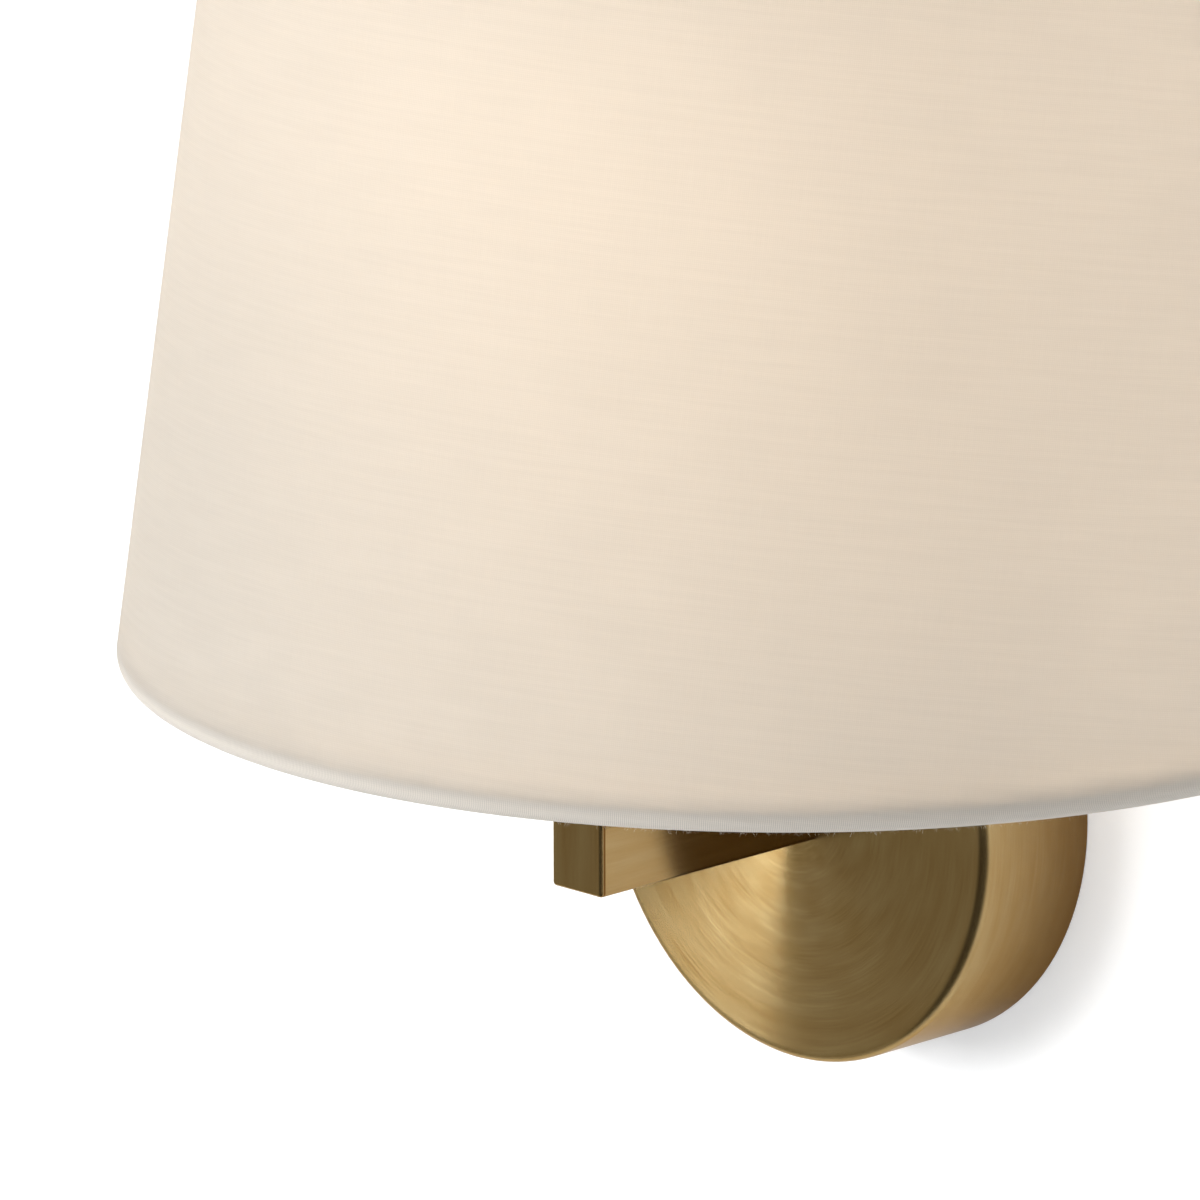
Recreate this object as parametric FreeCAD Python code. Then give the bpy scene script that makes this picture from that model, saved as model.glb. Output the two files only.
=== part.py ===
"""Fabric shade wall light: a half-round lined fabric shade on a square brass arm.

Units are millimetres. The wall is the plane y = 0, the room lies towards -Y, +Z is up, and the
origin is on the wall at the axis of the round wall plate, midway between the two wall screws.
"""
import FreeCAD
import Part
import math
import os

V = FreeCAD.Vector
X_AXIS = V(1, 0, 0)
Y_AXIS = V(0, 1, 0)
Z_AXIS = V(0, 0, 1)
ORIGIN = V(0, 0, 0)

# ---- wall plate: a shallow spun brass dish, open towards the wall -------------------------------
plate_diameter = 124.0
plate_depth = 34.0
plate_wall = 1.2
plate_edge_radius = 2.6

# ---- arm: square brass tube, out from the plate and up through a mitred corner ------------------
arm_size = 16.0
arm_wall = 1.5
arm_edge_radius = 1.0
arm_reach = 103.0          # wall to the front face of the post
post_top = 42.0            # height of the post's top above the plate's axis

# ---- threaded nipples, washer and nut -----------------------------------------------------------
nipple_diameter = 10.0
nipple_bore = 7.0
nipple_hole_clearance = 0.2
plug_thickness = 5.0       # square plug brazed into each end of the arm
spigot_length = 8.0        # how far the arm's nipple stands out inside the plate
post_nipple_length = 7.0
washer_diameter = 26.0
washer_thickness = 1.5
nut_across_flats = 14.0
nut_thickness = 3.0

# ---- wall bracket: an upright steel strap with a bent and tapped ear at each end ----------------
bracket_width = 24.0
bracket_thickness = 2.0
bracket_ear_depth = 20.0
bracket_bend_radius = 2.5
bracket_ear_clearance = 0.3
wall_slot_spacing = 70.0
wall_slot_length = 12.0
wall_slot_width = 5.0
cable_hole_diameter = 18.0

# ---- screws through the plate's top and bottom into the bracket ---------------------------------
side_screw_diameter = 4.0
side_screw_head_diameter = 7.0
side_screw_head_height = 2.4
side_screw_length = 8.0
side_screw_depth = 13.0    # from the wall to the screws' axis
side_screw_hole_clearance = 0.3
driver_slot_width = 1.0
driver_slot_depth = 1.0

# ---- terminal block, earth screw and leads ------------------------------------------------------
block_ways = 2
block_pitch = 7.0
block_height = 12.0
block_depth = 13.0
block_barrel_diameter = 6.6
block_way_bore = 4.0
block_offset = 19.0        # from the plate's axis up to the middle of the block
clamp_screw_diameter = 2.6
clamp_screw_spacing = 6.0
clamp_screw_stand = 0.6
lead_diameter = 2.2
lead_offset = 1.25         # half the distance between the two leads in the arm
lead_entry_depth = 9.0     # how far a lead reaches into the block
lead_entry_radius = 9.0
lead_elbow_radius = 12.0
earth_screw_offset = 20.0  # from the plate's axis down to the screw
earth_screw_diameter = 4.0
earth_head_diameter = 8.0
earth_head_height = 2.6

# ---- lampholder ---------------------------------------------------------------------------------
holder_body_diameter = 39.0
holder_cap_step = 1.5      # how far the cap stands out beyond the barrel
holder_cap_foot_diameter = 25.0
holder_cap_side = 5.0      # height of the cap's straight side, above its cone
holder_cap_height = 18.0
holder_cap_wall = 2.4
holder_shoulder_step = 4.0
holder_shoulder_thickness = 3.0
holder_body_height = 38.0
holder_body_wall = 2.4
holder_core_thickness = 11.0
thread_shell_wall = 0.5
thread_shell_height = 25.0
spring_width = 7.0
spring_length = 12.0
spring_thickness = 0.8
spring_rise = 4.0

# ---- shade ring: the collar that clamps the shade on the lampholder -----------------------------
ring_flange_diameter = 57.0
ring_flange_thickness = 3.0
ring_height = 10.0
ring_wall = 2.6
ring_running_clearance = 0.3
ring_seat_gap = 0.1

# ---- shade frame --------------------------------------------------------------------------------
shade_width_bottom = 306.0
shade_width_top = 254.0
shade_height = 203.0
shade_bottom = 35.0        # the rim's height above the plate's axis
shade_back_gap = 1.6       # plate front to the back of the shade
frame_wire = 3.6
fitter_bore_clearance = 0.4
fitter_ring_width = 7.0
fitter_ring_thickness = 2.0
fitter_arm_wire = 3.0
fitter_arm_gap = 0.5       # holder's shoulder to the inner end of an arm
weld_gap = 0.03            # hair gap where a wire's end is butt welded

# ---- shade covering -----------------------------------------------------------------------------
lining_thickness = 0.5
fabric_thickness = 0.5
glue_gap = 0.05
wire_gap = 0.1
hem_tuck = 6.0             # how far the hem runs back along the inside of the wire
roll_flats = 4             # flats in each half turn of the hem
back_return = 6.0          # how far the fabric is folded in behind its two back edges
notch_clearance = 0.2      # round each wire that passes through the hem

# ---- bulb: opal pear shape with a 27 mm screw cap -----------------------------------------------
bulb_diameter = 60.0
bulb_neck_diameter = 27.0
bulb_neck_height = 3.0     # straight neck above the cap
bulb_length = 106.0        # contact to the top of the glass
bulb_glass_wall = 1.0
bulb_cap_diameter = 26.0
bulb_cap_height = 20.0
bulb_cap_wall = 0.4
bulb_insulator_diameter = 20.0
bulb_insulator_height = 4.0
bulb_contact_diameter = 9.0
bulb_contact_height = 1.6
bulb_seat_gap = 0.3        # bulb's contact to the holder's spring
bulb_thread_clearance = 0.5

# ---- places worked out from the sizes above -----------------------------------------------------
plate_radius = plate_diameter / 2
plate_front = -plate_depth
arm_half = arm_size / 2
arm_inner_half = arm_half - arm_wall
post_y = arm_half - arm_reach
nipple_radius = nipple_diameter / 2
lead_radius = lead_diameter / 2

shoulder_z = post_top + holder_cap_height
seat_z = shoulder_z + holder_shoulder_thickness      # the shade's fitter ring sits here
holder_bore = holder_body_diameter - 2 * holder_body_wall
shoulder_radius = holder_body_diameter / 2 + holder_shoulder_step
core_top = shoulder_z + holder_core_thickness
spring_top = core_top + spring_rise

fitter_bore = holder_body_diameter + 2 * fitter_bore_clearance
fitter_diameter = fitter_bore + 2 * fitter_ring_width

back_y = plate_front - shade_back_gap                # back of the folded fabric
arc_y = back_y - fabric_thickness                    # centre line of the half-round
wire_radius = frame_wire / 2
lining_inside = wire_radius + wire_gap               # distances from the frame wires' centre
lining_outside = lining_inside + lining_thickness
fabric_inside = lining_outside + glue_gap
fabric_outside = fabric_inside + fabric_thickness
rim_z = shade_bottom + fabric_outside                # heights of the two frame wires
top_z = shade_bottom + shade_height - fabric_outside
rim_radius = shade_width_bottom / 2 - fabric_outside
top_radius = shade_width_top / 2 - fabric_outside
wire_y = arc_y - wire_radius                         # straight wires along the back
lean = math.atan2(rim_radius - top_radius, top_z - rim_z)

bulb_z = spring_top + bulb_seat_gap
bulb_cap_z = bulb_z + bulb_contact_height + bulb_insulator_height
bulb_cap_top = bulb_cap_z + bulb_cap_height
globe_z = bulb_z + bulb_length - bulb_diameter / 2


# ---- helpers ------------------------------------------------------------------------------------
def cylinder(radius, height, base, axis=Z_AXIS):
    return Part.makeCylinder(radius, height, base, axis)


def ring(outer_radius, inner_radius, height, base, axis=Z_AXIS):
    return cylinder(outer_radius, height, base, axis).cut(cylinder(inner_radius, height, base, axis))


def box(size_x, size_y, size_z, centre):
    return Part.makeBox(size_x, size_y, size_z, centre - V(size_x / 2, size_y / 2, size_z / 2))


def line(start, end):
    return Part.LineSegment(start, end).toShape()


def arc(start, middle, end):
    return Part.Arc(start, middle, end).toShape()


def path(points):
    """Straight edges through the points, in order."""
    return [line(a, b) for a, b in zip(points, points[1:])]


def face(edges):
    return Part.Face(Part.Wire(Part.__sortEdges__(edges)))


def polygon(points):
    return face(path(points + points[:1]))


def rod(start, end, diameter):
    """Straight round wire between two points."""
    run = end - start
    return cylinder(diameter / 2, run.Length, start, run)


def turned(edges, centre=ORIGIN, axis=Z_AXIS, angle=360):
    """Solid of revolution of a closed outline."""
    return face(edges).revolve(centre, axis, angle)


def hexagon(across_flats, thickness, base, axis):
    """Hexagonal prism with its corners rounded off."""
    corner = across_flats / math.sqrt(3)
    points = []
    for step in range(6):
        angle = math.radians(60 * step)
        points.append(V(corner * math.cos(angle), corner * math.sin(angle), 0))
    nut = polygon(points).extrude(V(0, 0, thickness))
    nut = nut.common(cylinder(0.97 * corner, thickness, ORIGIN))
    nut.Placement = FreeCAD.Placement(base, FreeCAD.Rotation(Z_AXIS, axis))
    return nut


def slotted_screw(head_diameter, head_height, diameter, length, seat, outward):
    """Cheese-head screw with its head on the seat and a driver slot across it."""
    head = cylinder(head_diameter / 2, head_height, ORIGIN)
    slot = box(driver_slot_width, head_diameter, 2 * driver_slot_depth, V(0, 0, head_height))
    shank = cylinder(diameter / 2, length, V(0, 0, -length))
    screw = head.cut(slot).fuse(shank).removeSplitter()
    screw.Placement = FreeCAD.Placement(seat, FreeCAD.Rotation(Z_AXIS, outward))
    return screw


def bent_tube(points, diameter, radii):
    """Round tube along straight runs joined by tangent arcs, with one radius for each inner point."""
    edges = []
    start = points[0]
    for before, corner, after, radius in zip(points, points[1:], points[2:], radii):
        into = (before - corner).normalize()
        out = (after - corner).normalize()
        half_turn = (math.pi - into.getAngle(out)) / 2
        reach = radius * math.tan(half_turn)
        bisector = (into + out).normalize()
        middle = corner + bisector * (radius / math.cos(half_turn) - radius)
        edges.append(line(start, corner + into * reach))
        edges.append(arc(corner + into * reach, middle, corner + out * reach))
        start = corner + out * reach
    edges.append(line(start, points[-1]))
    spine = Part.Wire(edges)
    section = Part.Wire(Part.makeCircle(diameter / 2, points[0], points[1] - points[0]))
    return spine.makePipeShell([section], True, True)


# ---- wall plate and what fixes it ---------------------------------------------------------------
def side_bore(radius):
    """Upright cutter right across the plate along the axis of the two side screws."""
    return cylinder(radius, 2 * plate_diameter, V(0, -side_screw_depth, -plate_diameter))


def wall_plate():
    """Spun dish with a rounded shoulder, bored for the arm's nipple and the two side screws."""
    front = plate_front
    shoulder = plate_edge_radius
    bend = shoulder * (1 - math.sqrt(0.5))
    outline = path([V(0, front, 0), ORIGIN, V(plate_radius, 0, 0),
                    V(plate_radius, front + shoulder, 0)])
    outline.append(arc(V(plate_radius, front + shoulder, 0),
                       V(plate_radius - bend, front + bend, 0),
                       V(plate_radius - shoulder, front, 0)))
    outline.append(line(V(plate_radius - shoulder, front, 0), V(0, front, 0)))
    outside = turned(outline, axis=Y_AXIS)
    inner = plate_radius - plate_wall
    chamfer = shoulder - plate_wall
    inside = turned(path([V(0, front + plate_wall, 0), V(inner - chamfer, front + plate_wall, 0),
                          V(inner, front + plate_wall + chamfer, 0), V(inner, 0, 0), ORIGIN,
                          V(0, front + plate_wall, 0)]), axis=Y_AXIS)
    nipple_hole = cylinder(nipple_radius + nipple_hole_clearance, plate_depth, ORIGIN, -Y_AXIS)
    screw_hole = side_bore(side_screw_diameter / 2 + side_screw_hole_clearance)
    return outside.cut(inside).cut(nipple_hole).cut(screw_hole)


def wall_slot(centre):
    """Cutter for one upright slot with round ends."""
    reach = (wall_slot_length - wall_slot_width) / 2
    half = wall_slot_width / 2
    edges = [
        line(V(half, 0, -reach), V(half, 0, reach)),
        arc(V(half, 0, reach), V(0, 0, reach + half), V(-half, 0, reach)),
        line(V(-half, 0, reach), V(-half, 0, -reach)),
        arc(V(-half, 0, -reach), V(0, 0, -reach - half), V(half, 0, -reach)),
    ]
    cutter = face(edges).extrude(V(0, -bracket_thickness, 0))
    cutter.translate(centre)
    return cutter


def wall_bracket():
    """Flat strap with bent ears, two wall slots, a cable hole, an earth hole and tapped ears."""
    inner_wall = plate_radius - plate_wall
    half_length = math.sqrt(inner_wall ** 2 - (bracket_width / 2) ** 2) - bracket_ear_clearance

    def channel(half, base, bend):
        corner = bend * (1 - math.sqrt(0.5))
        top = bracket_ear_depth
        edges = path([V(0, -base - bend, half), V(0, -top, half), V(0, -top, -half),
                      V(0, -base - bend, -half)])
        edges.append(arc(V(0, -base - bend, -half), V(0, -base - corner, corner - half),
                         V(0, -base, bend - half)))
        edges.append(line(V(0, -base, bend - half), V(0, -base, half - bend)))
        edges.append(arc(V(0, -base, half - bend), V(0, -base - corner, half - corner),
                         V(0, -base - bend, half)))
        return face(edges).extrude(V(bracket_width, 0, 0))

    thin = bracket_thickness
    strap = channel(half_length, 0, bracket_bend_radius)
    strap = strap.cut(channel(half_length - thin, thin, bracket_bend_radius - thin))
    strap.translate(V(-bracket_width / 2, 0, 0))
    strap = strap.cut(cylinder(cable_hole_diameter / 2, thin, ORIGIN, -Y_AXIS))
    for side in (-1, 1):
        strap = strap.cut(wall_slot(V(0, 0, side * wall_slot_spacing / 2)))
    earth_hole = cylinder(earth_screw_diameter / 2, thin, V(0, 0, -earth_screw_offset), -Y_AXIS)
    return strap.cut(earth_hole).cut(side_bore(side_screw_diameter / 2))


def plate_screws():
    """Two screws through the top and bottom of the plate's side wall into the bracket's ears."""
    screws = []
    for side in (-1, 1):
        seat = V(0, -side_screw_depth, side * plate_radius)
        screws.append(slotted_screw(side_screw_head_diameter, side_screw_head_height,
                                    side_screw_diameter, side_screw_length, seat, V(0, 0, side)))
    return Part.makeCompound(screws)


def earth_screw():
    """Earth screw tapped into the bracket, ready for the supply's earth wire."""
    seat = V(0, -bracket_thickness, -earth_screw_offset)
    return slotted_screw(earth_head_diameter, earth_head_height, earth_screw_diameter,
                         bracket_thickness, seat, -Y_AXIS)


# ---- arm ----------------------------------------------------------------------------------------
def elbow(half, front, edge_radius):
    """Square bar from the plate's front to the post and up it, its long edges rounded."""
    run = box(2 * half, plate_front - front, 2 * half, V(0, (front + plate_front) / 2, 0))
    post = box(2 * half, 2 * half, post_top + half, V(0, front + half, (post_top - half) / 2))
    bar = run.fuse(post).removeSplitter()
    if edge_radius == 0:
        return bar
    rounded = []
    for edge in bar.Edges:
        bounds = edge.BoundBox
        along_bar = edge.Length > 2 * half + edge_radius
        outer_corner = bounds.YMax < front + edge_radius and bounds.ZMax < edge_radius - half
        if along_bar or outer_corner:
            rounded.append(edge)
    return bar.makeFillet(edge_radius, rounded)


def arm():
    """Square tube with a mitred corner, open at both ends for its plugs."""
    tube = elbow(arm_half, -arm_reach, arm_edge_radius)
    return tube.cut(elbow(arm_inner_half, arm_wall - arm_reach, 0))


def plug_with_nipple(outer_face, outward, length):
    """Square plug filling the tube's end, with a bored nipple standing out of it."""
    inner_face = outer_face - outward * plug_thickness
    plug = box(2 * arm_inner_half, 2 * arm_inner_half, plug_thickness, V(0, 0, plug_thickness / 2))
    plug = plug.fuse(cylinder(nipple_radius, plug_thickness + length, ORIGIN)).removeSplitter()
    plug = plug.cut(cylinder(nipple_bore / 2, plug_thickness + length, ORIGIN))
    plug.Placement = FreeCAD.Placement(inner_face, FreeCAD.Rotation(Z_AXIS, outward))
    return plug


def arm_spigot():
    """Wall end of the arm; its nipple passes through the plate, the washer and the nut."""
    return plug_with_nipple(V(0, plate_front, 0), Y_AXIS, plate_wall + spigot_length)


def post_nipple():
    """Top end of the arm; the lampholder's cap is screwed down on its nipple."""
    return plug_with_nipple(V(0, post_y, post_top), Z_AXIS, post_nipple_length)


def spigot_washer():
    return ring(washer_diameter / 2, nipple_radius + nipple_hole_clearance, washer_thickness,
                V(0, plate_front + plate_wall, 0), Y_AXIS)


def spigot_nut():
    base = V(0, plate_front + plate_wall + washer_thickness, 0)
    nut = hexagon(nut_across_flats, nut_thickness, base, Y_AXIS)
    return nut.cut(cylinder(nipple_radius, nut_thickness, base, Y_AXIS))


# ---- wiring -------------------------------------------------------------------------------------
def way_axis(way):
    """Middle of one way of the terminal block; the ways are upright, side by side."""
    beside = (way - (block_ways - 1) / 2) * block_pitch
    return V(beside, -bracket_thickness - block_depth / 2, block_offset)


def terminal_block():
    """Moulded block on the bracket, with a barrel round each way and holes for its screws."""
    middle = way_axis((block_ways - 1) / 2)
    half_height = V(0, 0, block_height / 2)
    block = box(block_ways * block_pitch, block_depth / 2, block_height,
                middle + V(0, block_depth / 4, 0))
    for way in range(block_ways):
        block = block.fuse(cylinder(block_barrel_diameter / 2, block_height,
                                    way_axis(way) - half_height))
    block = block.removeSplitter()
    for way in range(block_ways):
        block = block.cut(cylinder(block_way_bore / 2, block_height, way_axis(way) - half_height))
        for side in (-1, 1):
            block = block.cut(clamp_screw(way, side))
    return block


def clamp_screw(way, side):
    """Small screw from the front of the block down to the wire in one way."""
    tip = way_axis(way) + V(0, -lead_radius, side * clamp_screw_spacing / 2)
    length = block_barrel_diameter / 2 - lead_radius + clamp_screw_stand
    return cylinder(clamp_screw_diameter / 2, length, tip, -Y_AXIS)


def terminal_screws():
    screws = []
    for way in range(block_ways):
        for side in (-1, 1):
            screws.append(clamp_screw(way, side))
    return Part.makeCompound(screws)


def lead(way):
    """Insulated wire from the terminal block through the arm to the lampholder's core."""
    start = way_axis(way) + V(0, 0, lead_entry_depth - block_height / 2)
    offset = (2 * way - 1) * lead_offset
    points = [
        start,
        V((start.x + 2 * offset) / 3, start.y, 0),
        V(offset, post_y, 0),
        V(offset, post_y, shoulder_z),
    ]
    return bent_tube(points, lead_diameter, [lead_entry_radius, lead_elbow_radius])


# ---- lampholder ---------------------------------------------------------------------------------
def holder_cap():
    """Cone-shaped cap screwed on the post's nipple, hollow for the leads' ends."""
    def cup(radius, foot, bottom):
        side = shoulder_z - holder_cap_side
        return turned(path([V(0, 0, bottom), V(foot, 0, bottom), V(radius, 0, side),
                            V(radius, 0, shoulder_z), V(0, 0, shoulder_z), V(0, 0, bottom)]))

    wall = holder_cap_wall
    radius = holder_body_diameter / 2 + holder_cap_step
    foot = holder_cap_foot_diameter / 2
    cap = cup(radius, foot, post_top).cut(cup(radius - wall, foot - wall / 2, post_top + wall))
    cap = cap.cut(cylinder(nipple_radius, wall, V(0, 0, post_top)))
    cap.translate(V(0, post_y, 0))
    return cap


def holder_body():
    """Barrel with a shoulder under the shade's fitter ring."""
    base = V(0, post_y, shoulder_z)
    barrel = cylinder(holder_body_diameter / 2, holder_shoulder_thickness + holder_body_height, base)
    barrel = barrel.fuse(cylinder(shoulder_radius, holder_shoulder_thickness, base))
    barrel = barrel.removeSplitter()
    return barrel.cut(cylinder(holder_bore / 2, 2 * holder_body_height, base))


def holder_core():
    """Insulating disc at the foot of the barrel, which carries the live parts."""
    return cylinder(holder_bore / 2, holder_core_thickness, V(0, post_y, shoulder_z))


def holder_thread():
    """Screw shell that takes the bulb's cap, standing on the core."""
    inner = bulb_cap_diameter / 2 + bulb_thread_clearance
    return ring(inner + thread_shell_wall, inner, thread_shell_height, V(0, post_y, core_top))


def holder_spring():
    """Bent strip that presses on the bulb's centre contact."""
    half = spring_length / 2
    thin = spring_thickness
    rise = spring_rise
    outline = polygon([
        V(-half, 0, 0), V(0, 0, 0), V(thin, 0, rise - thin), V(half, 0, rise - thin),
        V(half, 0, rise), V(0, 0, rise), V(-thin, 0, thin), V(-half, 0, thin),
    ])
    strip = outline.extrude(V(0, spring_width, 0))
    strip.translate(V(0, post_y - spring_width / 2, core_top))
    return strip


def shade_ring():
    """Collar whose flange clamps the fitter ring on the shoulder."""
    inner = holder_body_diameter / 2 + ring_running_clearance
    base = V(0, post_y, seat_z + fitter_ring_thickness + ring_seat_gap)
    collar = cylinder(inner + ring_wall, ring_height, base)
    flange = cylinder(ring_flange_diameter / 2, ring_flange_thickness, base)
    collar = collar.fuse(flange).removeSplitter()
    return collar.cut(cylinder(inner, ring_height, base))


# ---- shade frame --------------------------------------------------------------------------------
def fitter_ring():
    return ring(fitter_diameter / 2, fitter_bore / 2, fitter_ring_thickness, V(0, post_y, seat_z))


def fitter_arm_line(side):
    """Both ends of an arm's axis: under the fitter ring, and at the centre of the rim's wire."""
    direction, reach = {
        "left": (-X_AXIS, math.sqrt(rim_radius ** 2 - (arc_y - post_y) ** 2)),
        "right": (X_AXIS, math.sqrt(rim_radius ** 2 - (arc_y - post_y) ** 2)),
        "front": (-Y_AXIS, rim_radius + post_y - arc_y),
        "back": (Y_AXIS, wire_y - post_y),
    }[side]
    inner = max(shoulder_radius + fitter_arm_gap, fitter_bore / 2)
    radius = fitter_arm_wire / 2
    drop = math.atan2(seat_z - rim_z, reach - inner)
    start = V(0, post_y, 0) + direction * (inner + radius * math.sin(drop))
    start.z = seat_z - radius * math.cos(drop) - weld_gap
    end = V(0, post_y, rim_z) + direction * reach
    return start, end


def fitter_arm(side):
    """Straight wire welded under the fitter ring, its outer end coped round the rim's wire."""
    start, end = fitter_arm_line(side)
    wire = rod(start, end, fitter_arm_wire)
    if side == "back":
        reach = V(fitter_arm_wire, 0, 0)
        return wire.cut(rod(end - reach, end + reach, frame_wire + 2 * weld_gap))
    return wire.cut(bowed_wire(rim_radius, rim_z, weld_gap))


def bowed_wire(radius, height, growth=0.0):
    """Half-round frame wire, or a thicker cutter for what meets it."""
    circle = Part.makeCircle(wire_radius + growth, V(radius, arc_y, height), Y_AXIS)
    return Part.Face(Part.Wire(circle)).revolve(V(0, arc_y, 0), Z_AXIS, -180)


def back_wire(radius, height):
    """Straight frame wire across the back, butt welded between the ends of the bowed one."""
    reach = math.sqrt(radius ** 2 - frame_wire ** 2) - wire_radius * (1 + math.sin(lean)) - weld_gap
    return rod(V(-reach, wire_y, height), V(reach, wire_y, height), frame_wire)


def upright(side):
    """Straight wire up one back corner, between the bottom and top wires."""
    foot = V(side * rim_radius, wire_y, rim_z)
    head = V(side * top_radius, wire_y, top_z)
    run = (head - foot).normalize()
    stand_off = run * (wire_radius + weld_gap)
    return rod(foot + stand_off, head - stand_off, frame_wire)


# ---- shade covering -----------------------------------------------------------------------------
def slope():
    """Bottom and top of the wires' slanting line, with its direction and its outward normal."""
    foot = V(rim_radius, arc_y, rim_z)
    head = V(top_radius, arc_y, top_z)
    along = (head - foot).normalize()
    return foot, head, along, V(along.z, 0, -along.x)


def half_round(edges):
    return turned(edges, V(0, arc_y, 0), Z_AXIS, -180)


def shade_lining():
    """Stiff half cone that stands outside the frame wires."""
    foot, head, along, out = slope()
    inner = out * lining_inside
    outer = out * lining_outside
    return half_round(path([foot + inner, foot + outer, head + outer, head + inner, foot + inner]))


def shade_fabric():
    """Fabric over the lining, rolled under and over the end wires and tucked in behind them."""
    foot, head, along, out = slope()
    inner = out * fabric_inside
    outer = out * fabric_outside
    tuck = along * hem_tuck

    def roll(wire, side, end):
        """Half a turn round a wire in flats, starting beside it and passing its end side."""
        points = []
        for step in range(roll_flats + 1):
            turn = math.pi * step / roll_flats
            points.append(wire + side * math.cos(turn) + end * math.sin(turn))
        return points

    points = roll(foot, outer, along * -fabric_outside)
    points += [foot - outer + tuck, foot - inner + tuck]
    points += roll(foot, inner * -1, along * -fabric_inside)
    points += roll(head, inner, along * fabric_inside)
    points += [head - inner - tuck, head - outer - tuck]
    points += roll(head, outer * -1, along * fabric_outside)
    fabric = half_round(path(points + points[:1]))
    fold = polygon([foot + outer, head + outer, head + outer - out * back_return,
                    foot + outer - out * back_return]).extrude(V(0, fabric_thickness, 0))
    fabric = fabric.fuse([fold, fold.mirror(ORIGIN, X_AXIS)]).removeSplitter()
    for notch in hem_notches():
        fabric = fabric.cut(notch)
    return fabric


def hem_notches():
    """Clearance round each wire that reaches a bowed wire through the tucked hem."""
    notches = []
    inside = fabric_outside + hem_tuck
    notch = frame_wire + 2 * notch_clearance
    for radius, height in ((rim_radius, rim_z), (top_radius, top_z)):
        for side in (-1, 1):
            notches.append(rod(V(side * (radius - inside), wire_y, height),
                               V(side * (radius - wire_radius), wire_y, height), notch))
    for side in ("left", "right", "front"):
        start, end = fitter_arm_line(side)
        notches.append(rod(start, end, fitter_arm_wire + 2 * notch_clearance))
    return notches


# ---- bulb ---------------------------------------------------------------------------------------
def bulb_outline(shrink):
    """Closed outline of the glass, made smaller all round by shrink."""
    globe = bulb_diameter / 2 - shrink
    neck = bulb_neck_diameter / 2 - shrink
    neck_top = bulb_cap_top + bulb_neck_height
    rise = globe_z - neck_top
    flare = (neck ** 2 + rise ** 2 - globe ** 2) / (2 * (globe - neck))
    turn = math.atan2(rise, neck + flare)
    join = V((neck + flare) - flare * math.cos(turn), 0, neck_top + flare * math.sin(turn))
    half = turn / 2
    flare_middle = V(neck + flare - flare * math.cos(half), 0, neck_top + flare * math.sin(half))
    swing = (math.pi / 2 - turn) / 2
    globe_middle = V(globe * math.cos(swing), 0, globe_z + globe * math.sin(swing))
    crown = V(0, 0, globe_z + globe)
    foot = V(neck, 0, bulb_cap_top)
    outline = path([crown, V(0, 0, bulb_cap_top), foot, V(neck, 0, neck_top)])
    outline.append(arc(V(neck, 0, neck_top), flare_middle, join))
    outline.append(arc(join, globe_middle, crown))
    return outline


def bulb_glass():
    glass = turned(bulb_outline(0)).cut(turned(bulb_outline(bulb_glass_wall)))
    glass.translate(V(0, post_y, 0))
    return glass


def bulb_cap():
    """Screw cap: a thin cup round the foot of the glass, closed by the insulator below."""
    radius = bulb_cap_diameter / 2
    base = V(0, post_y, bulb_cap_z)
    cup = cylinder(radius, bulb_cap_height, base)
    inner = base + V(0, 0, bulb_cap_wall)
    return cup.cut(cylinder(radius - bulb_cap_wall, bulb_cap_height, inner))


def bulb_insulator():
    """Tapered glass insulator between the cap and the contact."""
    top = V(bulb_insulator_diameter / 2, 0, bulb_cap_z)
    foot_z = bulb_cap_z - bulb_insulator_height
    outline = path([V(0, 0, foot_z), V(bulb_contact_diameter / 2, 0, foot_z), top,
                    V(0, 0, bulb_cap_z), V(0, 0, foot_z)])
    solid = turned(outline)
    solid.translate(V(0, post_y, 0))
    return solid


def bulb_contact():
    return cylinder(bulb_contact_diameter / 2, bulb_contact_height, V(0, post_y, bulb_z))


# ---- every piece, by its name -------------------------------------------------------------------
pieces = {
    "wall_plate": wall_plate(),
    "wall_bracket": wall_bracket(),
    "plate_screws": plate_screws(),
    "earth_screw": earth_screw(),
    "terminal_block": terminal_block(),
    "terminal_screws": terminal_screws(),
    "neutral_lead": lead(0),
    "live_lead": lead(1),
    "arm": arm(),
    "arm_spigot": arm_spigot(),
    "spigot_washer": spigot_washer(),
    "spigot_nut": spigot_nut(),
    "post_nipple": post_nipple(),
    "holder_cap": holder_cap(),
    "holder_body": holder_body(),
    "holder_core": holder_core(),
    "holder_thread": holder_thread(),
    "holder_spring": holder_spring(),
    "shade_ring": shade_ring(),
    "fitter_ring": fitter_ring(),
    "fitter_arm_left": fitter_arm("left"),
    "fitter_arm_right": fitter_arm("right"),
    "fitter_arm_front": fitter_arm("front"),
    "fitter_arm_back": fitter_arm("back"),
    "shade_rim_wire": bowed_wire(rim_radius, rim_z),
    "shade_top_wire": bowed_wire(top_radius, top_z),
    "shade_rim_back_wire": back_wire(rim_radius, rim_z),
    "shade_top_back_wire": back_wire(top_radius, top_z),
    "shade_upright_left": upright(-1),
    "shade_upright_right": upright(1),
    "shade_lining": shade_lining(),
    "shade_fabric": shade_fabric(),
    "bulb_glass": bulb_glass(),
    "bulb_cap": bulb_cap(),
    "bulb_insulator": bulb_insulator(),
    "bulb_contact": bulb_contact(),
}

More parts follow.
